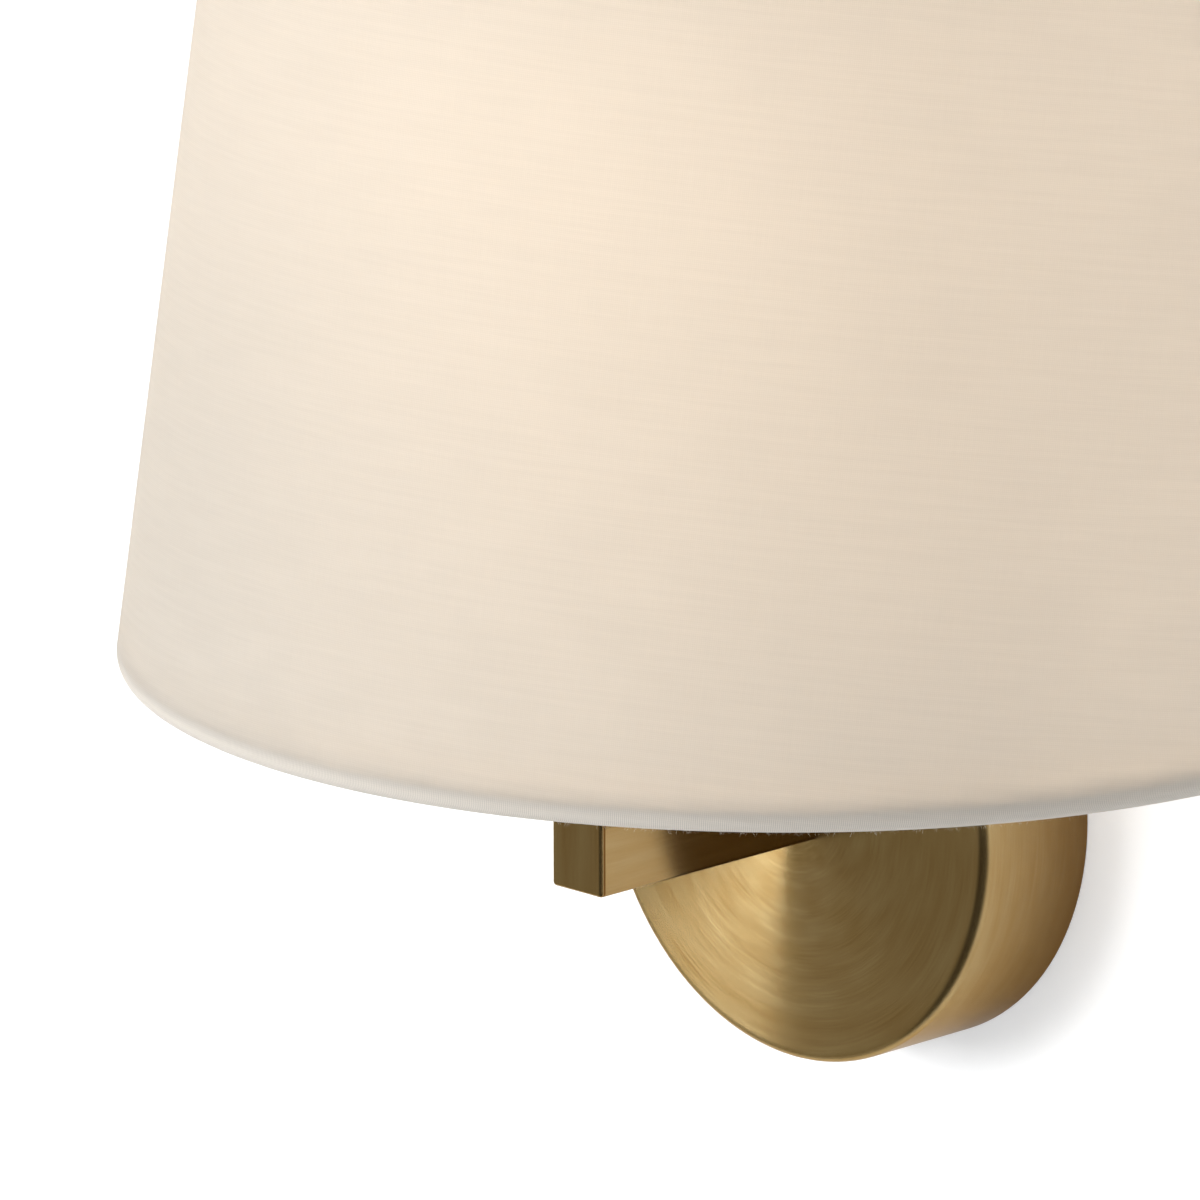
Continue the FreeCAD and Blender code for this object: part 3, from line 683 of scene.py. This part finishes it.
def cotton():
    material, tree, shader = start_material("ivory_cotton", **CLOTH_LOOK)
    flat = add_node(tree, "ShaderNodeUVMap", uv_map="flat_cloth").outputs[0]
    run = add_node(tree, "ShaderNodeAttribute", attribute_name="run").outputs["Fac"]
    from_wire = calc(tree, "MINIMUM", calc(tree, "SUBTRACT", run, slope_start),
                     calc(tree, "SUBTRACT", slope_end, run))
    hem = between(tree, from_wire, *HEM_FADE)
    weave = use_group(tree, plain_weave, {"Flat Point": flat})
    lines = [calc(tree, "MULTIPLY", between(tree, weave[kind], *YARN_RANGE), 0.5)
             for kind in ("Yarn", "Slub")]
    shade = between(tree, calc(tree, "ADD", *lines), 0, 1, THICK_YARN, 1.0)
    ribs = calc(tree, "MULTIPLY", weave["Rib"], calc(tree, "MULTIPLY", hem, HEM_RIBS))
    gaps = between(tree, weave["Height"], *THREAD_RANGE, THREAD_GAP, 1.0)
    tone = calc(tree, "MULTIPLY", shade, calc(tree, "SUBTRACT", gaps, ribs))
    # The hem takes its paler, warmer colour here: painted warm light on the rolled hem.
    feed(tree, shader.inputs["Base Color"],
         scaled(tree, blend_colours(tree, hem, CLOTH_FRONT, HEM_FRONT_WARM_LIT), tone))
    add_bump(tree, shader, weave["Height"], *CLOTH_BUMP)
    tucked = calc(tree, "LESS_THAN", from_wire, -math.pi * ROLL_RADIUS)
    passes = calc(tree, "MAXIMUM", between(tree, hem, 0, 1, CLOTH_PASSES, HEM_PASSES),
                  calc(tree, "MULTIPLY", tucked, TUCK_PASSES))
    see_through(tree, shader, scaled(tree, CLOTH_THROUGH, tone), passes)
    return material


ivory_cotton = cotton()
print("cloth:", ivory_cotton.name)

# %% [markdown]
# The lining is smooth white film on board, stiff and even, so faint clouds are enough.

# %% Lining
LINING_FRONT = (0.94, 0.93, 0.91)
LINING_THROUGH = (0.98, 0.97, 0.955, 1)
LINING_PASSES = 0.58
LINING_ROUGHNESS = 0.45
LINING_CLOUDS = dict(Scale=60.0, Detail=3.0)
CLOUD_RANGE = (0.3, 0.7)
CLOUD_DARK = 0.97

lining_white, tree, shader = start_material("white_lining", Roughness=LINING_ROUGHNESS)
clouds = noise(tree, object_point(tree), **LINING_CLOUDS)
tone = between(tree, clouds, *CLOUD_RANGE, CLOUD_DARK, 1.0)
feed(tree, shader.inputs["Base Color"], scaled(tree, LINING_FRONT, tone))
see_through(tree, shader, LINING_THROUGH, LINING_PASSES)
dress(lining_white, "shade_lining")
print("lining:", lining_white.name)

# %% [markdown]
# ## The shade's cloth
# The cloth is one piece. It lies over the lining, rolls round the wire at the bottom and at the
# top, and is tucked in behind each wire. Its section is drawn first, as a maker would draw it: a
# point is extruded down the inside to the wire, spun half a turn round it, extruded up the slope,
# and spun and extruded again at the top. Later the section is spun half a turn into the shade.

# %% Section of the cloth
ROLL_STEPS = 12
SLOPE_CUTS = 40
ONLY_SLOPE = 0.1


def deselect_all():
    bpy.ops.object.select_all(action="DESELECT")


def extrude_by(offset):
    bpy.ops.mesh.extrude_region_move(TRANSFORM_OT_translate={"value": offset})


def edge_length(edge):
    first, second = (cloth.data.vertices[index].co for index in edge.vertices)
    return (first - second).length


deselect_all()
start = rim_wire - outward * ROLL_RADIUS + slope * HEM_TUCK
bpy.ops.mesh.primitive_plane_add(size=1 * MM, location=start)
cloth = bpy.context.object
cloth.name = "shade_cloth"
bpy.ops.object.transform_apply(location=True, rotation=True, scale=True)
bpy.ops.object.mode_set(mode="EDIT")
bpy.ops.mesh.select_mode(type="VERT")
bpy.ops.mesh.select_all(action="SELECT")
bpy.ops.mesh.merge(type="CENTER")
extrude_by(-slope * HEM_TUCK)
bpy.ops.mesh.spin(steps=ROLL_STEPS, angle=math.pi, center=rim_wire, axis=(0, 1, 0))
extrude_by(up_slope)
bpy.ops.mesh.spin(steps=ROLL_STEPS, angle=math.pi, center=top_wire, axis=(0, 1, 0))
extrude_by(-slope * HEM_TUCK)
bpy.ops.mesh.select_mode(type="EDGE")
bpy.ops.mesh.select_all(action="DESELECT")
bpy.ops.object.mode_set(mode="OBJECT")
for edge in cloth.data.edges:
    edge.select = edge_length(edge) > ONLY_SLOPE
bpy.ops.object.mode_set(mode="EDIT")
bpy.ops.mesh.subdivide(number_cuts=SLOPE_CUTS)
bpy.ops.object.mode_set(mode="OBJECT")
print("section of", len(cloth.data.vertices), "points")

# %% [markdown]
# The section is a chain of short edges. Walking along it from the tucked end adds up its length,
# and each point stores the length so far as an attribute, its run, which every copy of it keeps.
# The material finds the hems by it, and the cloth's flat coordinates are worked out from it.

# %% Run of each point along the cloth
def walk(mesh, first):
    """The vertices of a chain of edges, in order from the first."""
    beside = {vertex.index: [] for vertex in mesh.vertices}
    for edge in mesh.edges:
        a, b = edge.vertices
        beside[a].append(b)
        beside[b].append(a)
    order = [first]
    while True:
        ahead = [index for index in beside[order[-1]] if index not in order[-2:]]
        if not ahead:
            return order
        order.append(ahead[0])


mesh = cloth.data
first = min(range(len(mesh.vertices)), key=lambda index: (mesh.vertices[index].co - start).length)
section = walk(mesh, first)
run = mesh.attributes.new("run", "FLOAT", "POINT")
CLOTH_RUN = 0.0
for before, after in zip(section, section[1:]):
    CLOTH_RUN += (mesh.vertices[after].co - mesh.vertices[before].co).length
    run.data[after].value = CLOTH_RUN
print("run of the cloth", round(CLOTH_RUN / MM, 1), "mm")

# %% [markdown]
# The section is spun half a turn round the shade's upright middle. At each end of the half round
# the edges of the slope are then extruded inwards, a hair back and then along the back wires: this
# is the fold that hides the cut edge of the cloth.

# %% Spin the section into a half round, and fold its back edges in
ARC_STEPS = 160
NEAR = 1e-5

deselect_all()
cloth.select_set(True)
bpy.ops.object.mode_set(mode="EDIT")
bpy.ops.mesh.select_mode(type="VERT")
bpy.ops.mesh.select_all(action="SELECT")
bpy.ops.mesh.spin(steps=ARC_STEPS, angle=math.pi, center=ARC_CENTRE, axis=(0, 0, 1))
bpy.ops.object.mode_set(mode="OBJECT")


def select_back_edges(mesh, side):
    """Selects the edges of the slope at one end of the half round, side -1 or 1."""
    run = mesh.attributes["run"].data
    for edge in mesh.edges:
        on_slope = all(slope_start - NEAR < run[index].value < slope_end + NEAR
                       for index in edge.vertices)
        ends = [mesh.vertices[index].co for index in edge.vertices]
        edge.select = on_slope and all(abs(end.y - rim_wire.y) < NEAR and end.x * side > 0
                                       for end in ends)


for side in (-1, 1):
    bpy.ops.object.mode_set(mode="EDIT")
    bpy.ops.mesh.select_mode(type="EDGE")
    bpy.ops.mesh.select_all(action="DESELECT")
    bpy.ops.object.mode_set(mode="OBJECT")
    select_back_edges(cloth.data, side)
    bpy.ops.object.mode_set(mode="EDIT")
    inward = Vector((-side * outward.x, 0, -outward.z))
    extrude_by(Vector((0, CLOTH_THICKNESS / 2, 0)) + inward * CLOTH_THICKNESS / 2)
    extrude_by(inward * BACK_RETURN / 2)
    extrude_by(inward * BACK_RETURN / 2)
    bpy.ops.object.mode_set(mode="OBJECT")
print("half round of", len(cloth.data.polygons), "faces")

# %% [markdown]
# A tapered shade is cut as a piece of a ring. Laid flat, its sides would meet in a tip, and each
# point has a reach from that tip and a spread round it. Turned into two straight coordinates, they
# give the weave its true threads, which run straight in the cloth whatever the taper does to them.

# %% Flat coordinates of the cloth
MERGE_WITHIN = 1e-6


def flat_cloth_coordinates(mesh):
    taper = abs(slope.x)
    to_tip = rim_wire.x / taper
    run = mesh.attributes["run"].data
    layer = mesh.uv_layers.new(name="flat_cloth")
    for polygon in mesh.polygons:
        for loop in polygon.loop_indices:
            index = mesh.loops[loop].vertex_index
            place = mesh.vertices[index].co - ARC_CENTRE
            spread = math.atan2(place.x, -place.y) * taper
            reach = to_tip - (run[index].value - slope_start)
            layer.data[loop].uv = (reach * math.sin(spread), reach * math.cos(spread))


flat_cloth_coordinates(cloth.data)
bpy.ops.object.mode_set(mode="EDIT")
bpy.ops.mesh.select_all(action="SELECT")
bpy.ops.mesh.remove_doubles(threshold=MERGE_WITHIN)
bpy.ops.mesh.normals_make_consistent(inside=False)
bpy.ops.object.mode_set(mode="OBJECT")
print("first face looks along", short(cloth.data.polygons[0].normal, 2))

# %% [markdown]
# So far the cloth is a bare surface, the middle of its thickness. A Solidify modifier gives it
# both sides and its edges. The cloth then takes the place of the imported fabric.

# %% Give the cloth its thickness
SMOOTH_BELOW = math.radians(40)

wall_of_cloth = cloth.modifiers.new("thickness", "SOLIDIFY")
wall_of_cloth.thickness = CLOTH_THICKNESS
wall_of_cloth.offset = 0.0
wall_of_cloth.use_even_offset = True
bpy.ops.object.modifier_apply(modifier=wall_of_cloth.name)
bpy.ops.object.shade_smooth_by_angle(angle=SMOOTH_BELOW)
cloth.data.materials.append(ivory_cotton)
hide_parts("shade_fabric")
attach(cloth, "fixture")

# %% [markdown]
# ## Bulb
# The bulb is the light of the shade. Its opal glass glows evenly, so the glass itself is given a
# warm emission, which lights the lining from the real place. Looked at directly it is dimmer, as in
# a photograph exposed for the lamp, and dimmer still towards its outline, a painted shade that
# shows a round glass and not a white hole.

# %% Opal glass
GLASS_LOOK = dict(Base_Color=(0.92, 0.90, 0.86, 1), Roughness=0.25, Coat_Weight=0.4)
GLASS_CLOUDS = 40.0
BULB_COLOUR = (1.0, 0.83, 0.65, 1)
BULB_PALER = (1.0, 0.84, 0.67, 1)
BULB_STRENGTH = 2.0
BULB_SEEN = 0.42
BULB_EDGE_SHADE = 0.6
EDGE_BLEND = 0.35

opal_glass, tree, shader = start_material("opal_glass", **GLASS_LOOK)
clouds = between(tree, noise(tree, object_point(tree), Scale=GLASS_CLOUDS), *CLOUD_RANGE)
feed(tree, shader.inputs["Emission Color"], blend_colours(tree, clouds, BULB_COLOUR, BULB_PALER))
looked_at = add_node(tree, "ShaderNodeLightPath").outputs["Is Camera Ray"]
# Painted shade: looked at directly, the glow fades towards the bulb's outline to give it a round
# look.
edge = add_node(tree, "ShaderNodeLayerWeight", {"Blend": EDGE_BLEND}).outputs["Facing"]
seen = between(tree, edge, 0, 1, BULB_SEEN, BULB_SEEN * BULB_EDGE_SHADE)
feed(tree, shader.inputs["Emission Strength"], blend(tree, looked_at, BULB_STRENGTH, seen))
dress(opal_glass, "bulb_glass")
print("bulb at strength", BULB_STRENGTH)

# %% [markdown]
# ## Light scattered inside the shade
# Light bounces many times between the lining's sides before it leaves, and it evens out. Following
# every bounce takes long, so two soft lamps stand for it, low and high in the shade. Light linking
# lets them light the cloth and the lining alone, and no ray from the camera or a mirror sees them.

# %% Scattered light
SCATTER_PLACE = (0.024, -0.070)
SCATTER_HEIGHTS = (0.068, 0.180)
SCATTER_RADIUS = 0.045
SCATTER_POWER = 0.60
shade_only = bpy.data.collections.new("lit_by_scatter")
for piece in (cloth, nodes["shade_lining"]):
    shade_only.objects.link(piece)
for height in SCATTER_HEIGHTS:
    bpy.ops.object.light_add(type="POINT", location=(*SCATTER_PLACE, height))
    scatter = bpy.context.object
    scatter.name = "scattered_light"
    scatter.data.energy = SCATTER_POWER
    scatter.data.shadow_soft_size = SCATTER_RADIUS
    scatter.data.color = BULB_COLOUR[:3]
    scatter.visible_camera = scatter.visible_glossy = False
    scatter.light_linking.receiver_collection = shade_only
print(len(SCATTER_HEIGHTS), "lamps of", SCATTER_POWER, "W for scattered light")

# %% [markdown]
# ## Plain finishes
# The pieces that are not brass or cloth still have a skin: zinc plate has clouds, powder coat is
# finely pimpled like orange peel, and moulded plastic is a little uneven. One group makes a cloud
# and a pimple from the piece's own coordinates, and each finish takes them with its own colours
# and size.

# %% Group: mottle
CLOUD_DETAIL = 4.0
PIMPLES_PER_CLOUD = 6.0
PIMPLE_RANGE = (0.1, 0.7)


def make_mottle():
    group, given, made = start_group("mottle", {"Point": (0.0, 0.0, 0.0), "Size": 0.004},
                                     ("Cloud", "Pimple"))
    spot = scaled(group, given["Point"], calc(group, "DIVIDE", 1.0, given["Size"]))
    cloud = noise(group, spot, Scale=1.0, Detail=CLOUD_DETAIL)
    cells = add_node(group, "ShaderNodeTexVoronoi", {"Vector": spot, "Scale": PIMPLES_PER_CLOUD},
                     feature="SMOOTH_F1").outputs["Distance"]
    feed(group, made["Cloud"], between(group, cloud, *CLOUD_RANGE))
    feed(group, made["Pimple"], between(group, cells, *PIMPLE_RANGE, 1.0, 0.0))
    return group


mottle = make_mottle()
print("group", mottle.name)

# %% [markdown]
# Each finish below is one call: a dark and a light colour, the range of its roughness and the size
# of its clouds. Cut metal takes the brushed grain instead, because a lathe leaves rings.

# %% Plain and turned finishes
SKIN_BUMP = (0.15, 0.06 * MM)
TURNED_LOOK = dict(Metallic=1.0, Anisotropic=0.6)
TURNED_STREAK = 20 * MM
TURNED_RANGE = (0.35, 0.65)


def plain_finish(name, dark, light, rough, size, pimples=0.2, **constants):
    material, tree, shader = start_material(name, **constants)
    skin = use_group(tree, mottle, {"Point": object_point(tree), "Size": size})
    feed(tree, shader.inputs["Base Color"],
         blend_colours(tree, skin["Cloud"], (*dark, 1), (*light, 1)))
    feed(tree, shader.inputs["Roughness"], between(tree, skin["Cloud"], 0, 1, *rough))
    height = calc(tree, "MULTIPLY_ADD", skin["Pimple"], pimples, skin["Cloud"])
    add_bump(tree, shader, height, *SKIN_BUMP)
    return material


def turned_finish(name, dark, light, rough):
    """Metal cut on a lathe: the marks are rings round an upright axis."""
    material, tree, shader = start_material(name, **TURNED_LOOK)
    point = object_axes(tree)
    grain = use_group(tree, brushed_grain, {"Along": point["X"], "Across": point["Z"],
                                            "Streak Length": TURNED_STREAK})
    tone = between(tree, grain["Tone"], *TURNED_RANGE)
    feed(tree, shader.inputs["Base Color"], blend_colours(tree, tone, (*dark, 1), (*light, 1)))
    feed(tree, shader.inputs["Roughness"], between(tree, grain["Tone"], *GRAIN_RANGE, *rough))
    return material


ZINC = plain_finish("zinc_plate", (0.44, 0.45, 0.47), (0.66, 0.67, 0.68), (0.30, 0.46),
                    5 * MM, Metallic=1.0)
POWDER = plain_finish("white_powder_coat", (0.80, 0.80, 0.785), (0.86, 0.86, 0.85), (0.38, 0.50),
                      1.6 * MM, pimples=1.0, Coat_Weight=0.15)
BAKELITE = plain_finish("black_bakelite", (0.010, 0.010, 0.011), (0.022, 0.021, 0.021),
                        (0.26, 0.40), 6 * MM, Coat_Weight=0.3)
WHITE_PLASTIC = plain_finish("white_plastic", (0.78, 0.78, 0.75), (0.85, 0.85, 0.82),
                             (0.34, 0.44), 4 * MM)
BLUE_LEAD = plain_finish("blue_insulation", (0.02, 0.10, 0.36), (0.03, 0.14, 0.45),
                         (0.35, 0.45), 3 * MM)
BROWN_LEAD = plain_finish("brown_insulation", (0.13, 0.055, 0.022), (0.18, 0.08, 0.035),
                          (0.35, 0.45), 3 * MM)
PORCELAIN = plain_finish("porcelain", (0.78, 0.76, 0.71), (0.86, 0.84, 0.80), (0.30, 0.42),
                         3 * MM, pimples=0.5, Coat_Weight=0.5)
BLACK_GLASS = plain_finish("black_glass", (0.012, 0.012, 0.014), (0.03, 0.03, 0.035),
                           (0.10, 0.20), 4 * MM, Coat_Weight=0.6)
TURNED_BRASS = turned_finish("turned_brass", (0.42, 0.27, 0.09), (0.62, 0.43, 0.18), (0.22, 0.34))
BULB_METAL = turned_finish("bulb_cap_metal", (0.55, 0.55, 0.54), (0.76, 0.76, 0.75), (0.20, 0.32))
print("finishes from", ZINC.name, "to", BULB_METAL.name)

# %% [markdown]
# Now each hidden piece gets the finish it has in such lights: zinc-plated steel for the bracket,
# black bakelite for the lampholder, brass for what is turned or carries current, and powder coat
# for the wires of the shade.

# %% Dress the other pieces
dress(ZINC, "wall_bracket", "spigot_washer", "spigot_nut", "terminal_screws")
dress(TURNED_BRASS, "plate_screws", "earth_screw", "arm_spigot", "post_nipple", "holder_thread",
      "holder_spring")
dress(BAKELITE, "holder_cap", "holder_body", "shade_ring")
dress(PORCELAIN, "holder_core")
dress(WHITE_PLASTIC, "terminal_block")
dress(BLUE_LEAD, "neutral_lead")
dress(BROWN_LEAD, "live_lead")
FRAME_WORDS = ("fitter_ring", "fitter_arm", "shade_upright")
dress(POWDER, *[name for name in nodes if name.startswith(FRAME_WORDS) or name.endswith("_wire")])
dress(BULB_METAL, "bulb_cap", "bulb_contact")
dress(BLACK_GLASS, "bulb_insulator")
print("finishes on", len(nodes), "CAD pieces")

# %% [markdown]
# ## Grips of the shade ring
# The ring that clamps the shade on the holder is turned by hand, so its flange has small ribs for
# the fingers. One rib is a short rounded bar; it is copied round the flange and joined into one
# piece, which turns with the ring.

# %% Ribs round the flange
RIB_COUNT = 24
RIB_SIDES = 12
RIB_RADIUS = 1.2 * MM
RIB_ROUNDING = 0.4 * MM
RIB_SHARE = 0.94
FLANGE_HEIGHT = 3.0 * MM
ring_low, ring_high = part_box("shade_ring")
ring_radius = (ring_high.x - ring_low.x) / 2
ring_centre = Vector(((ring_low.x + ring_high.x) / 2, (ring_low.y + ring_high.y) / 2, 0))
first_place = ring_centre + Vector((ring_radius, 0, ring_low.z + FLANGE_HEIGHT / 2))

deselect_all()
bpy.ops.mesh.primitive_cylinder_add(vertices=RIB_SIDES, radius=RIB_RADIUS,
                                    depth=FLANGE_HEIGHT * RIB_SHARE, location=first_place)
rib = bpy.context.object
rib.name = "ring_grips"
bpy.ops.object.transform_apply(location=True, rotation=True, scale=True)
rounding = rib.modifiers.new("rounding", "BEVEL")
rounding.width = RIB_ROUNDING
rounding.segments = 2
bpy.ops.object.modifier_apply(modifier=rounding.name)
to_axis = Matrix.Translation(ring_centre)
for number in range(1, RIB_COUNT):
    copy = rib.copy()
    copy.data = rib.data.copy()
    bpy.context.collection.objects.link(copy)
    copy.data.transform(to_axis @ Matrix.Rotation(math.tau * number / RIB_COUNT, 4, "Z")
                        @ to_axis.inverted())
    copy.select_set(True)
bpy.ops.object.join()
bpy.ops.object.shade_smooth_by_angle(angle=SMOOTH_BELOW)
rib.data.materials.clear()
rib.data.materials.append(BAKELITE)
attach(rib, "shade_collar")
print("grips of", len(rib.data.polygons), "faces round radius", round(ring_radius / MM, 1), "mm")

# %% [markdown]
# ## Stray fibres
# Cut and handled yarn is never clean: many short ends stand out along the lower roll of the cloth.
# A hair system could grow them, but as a mesh they stay the same wherever the light is used. So
# one fibre is modelled first, one metre long and bent, from a thin taper with three sides.

# %% One fibre
FIBRE_SLENDER = 0.018
FIBRE_TIP = 0.5
FIBRE_CUTS = (0.35, 0.7)
FIBRE_BEND = 0.45

deselect_all()
bpy.ops.mesh.primitive_cone_add(vertices=3, radius1=FIBRE_SLENDER,
                                radius2=FIBRE_SLENDER * FIBRE_TIP, depth=1.0,
                                location=(0, 0, 0.5))
fibres = bpy.context.object
fibres.name = "hem_fibres"
bpy.ops.object.transform_apply(location=True, rotation=True, scale=True)
bpy.ops.object.mode_set(mode="EDIT")
for height in FIBRE_CUTS:
    bpy.ops.mesh.select_all(action="SELECT")
    bpy.ops.mesh.bisect(plane_co=(0, 0, height), plane_no=(0, 0, 1))
bpy.ops.object.mode_set(mode="OBJECT")
for vertex in fibres.data.vertices:
    vertex.co.x += FIBRE_BEND * vertex.co.z ** 2
print("one fibre of", len(fibres.data.polygons), "faces")

# %% [markdown]
# The fibre is shrunk and copied along the roll, each time with another place, lean, length and
# twist. The dice are seeded, so that every run gives the same shade.

# %% Fibres along the lower roll
FIBRE_COUNT = 2400
FIBRE_SEED = 31
FIBRE_LENGTH = 1.2 * MM
FIBRE_SHORTEST = 0.3
FIBRE_ROOTS = 0.3
FIBRE_ROUND = (-88, 88)
FIBRE_LEAN = (-25, 70)
FIBRE_TILT = (0, 55)
FIBRE_COTTON = plain_finish("fibre_cotton", (0.80, 0.78, 0.74), (0.88, 0.86, 0.82), (0.7, 0.8),
                            2 * MM)

dice = random.Random(FIBRE_SEED)
pattern = fibres.data.copy()
for number in range(FIBRE_COUNT):
    place_round = math.radians(dice.uniform(*FIBRE_ROUND))
    lean = math.radians(dice.uniform(*FIBRE_LEAN))
    outside = Vector((math.sin(place_round), -math.cos(place_round), 0))
    on_roll = outside * math.sin(lean) + Vector((0, 0, -math.cos(lean)))
    foot = (ARC_CENTRE + outside * rim_wire.x + Vector((0, 0, rim_wire.z))
            + on_roll * (ROLL_RADIUS + CLOTH_THICKNESS * FIBRE_ROOTS))
    stretch = FIBRE_LENGTH * dice.uniform(FIBRE_SHORTEST, 1.0) ** 2
    twist = (on_roll.to_track_quat("Z", "X").to_matrix().to_4x4()
             @ Matrix.Rotation(dice.uniform(0, math.tau), 4, "Z")
             @ Matrix.Rotation(math.radians(dice.uniform(*FIBRE_TILT)), 4, "X"))
    copy = fibres if number == 0 else fibres.copy()
    copy.data = pattern.copy()
    if number:
        bpy.context.collection.objects.link(copy)
    copy.data.transform(Matrix.Translation(foot) @ twist @ Matrix.Scale(stretch, 4))
    copy.select_set(True)
bpy.context.view_layer.objects.active = fibres
bpy.ops.object.join()
fibres.data.materials.clear()
fibres.data.materials.append(FIBRE_COTTON)
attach(fibres, "fixture")
print(FIBRE_COUNT, "fibres of", len(fibres.data.polygons), "faces")
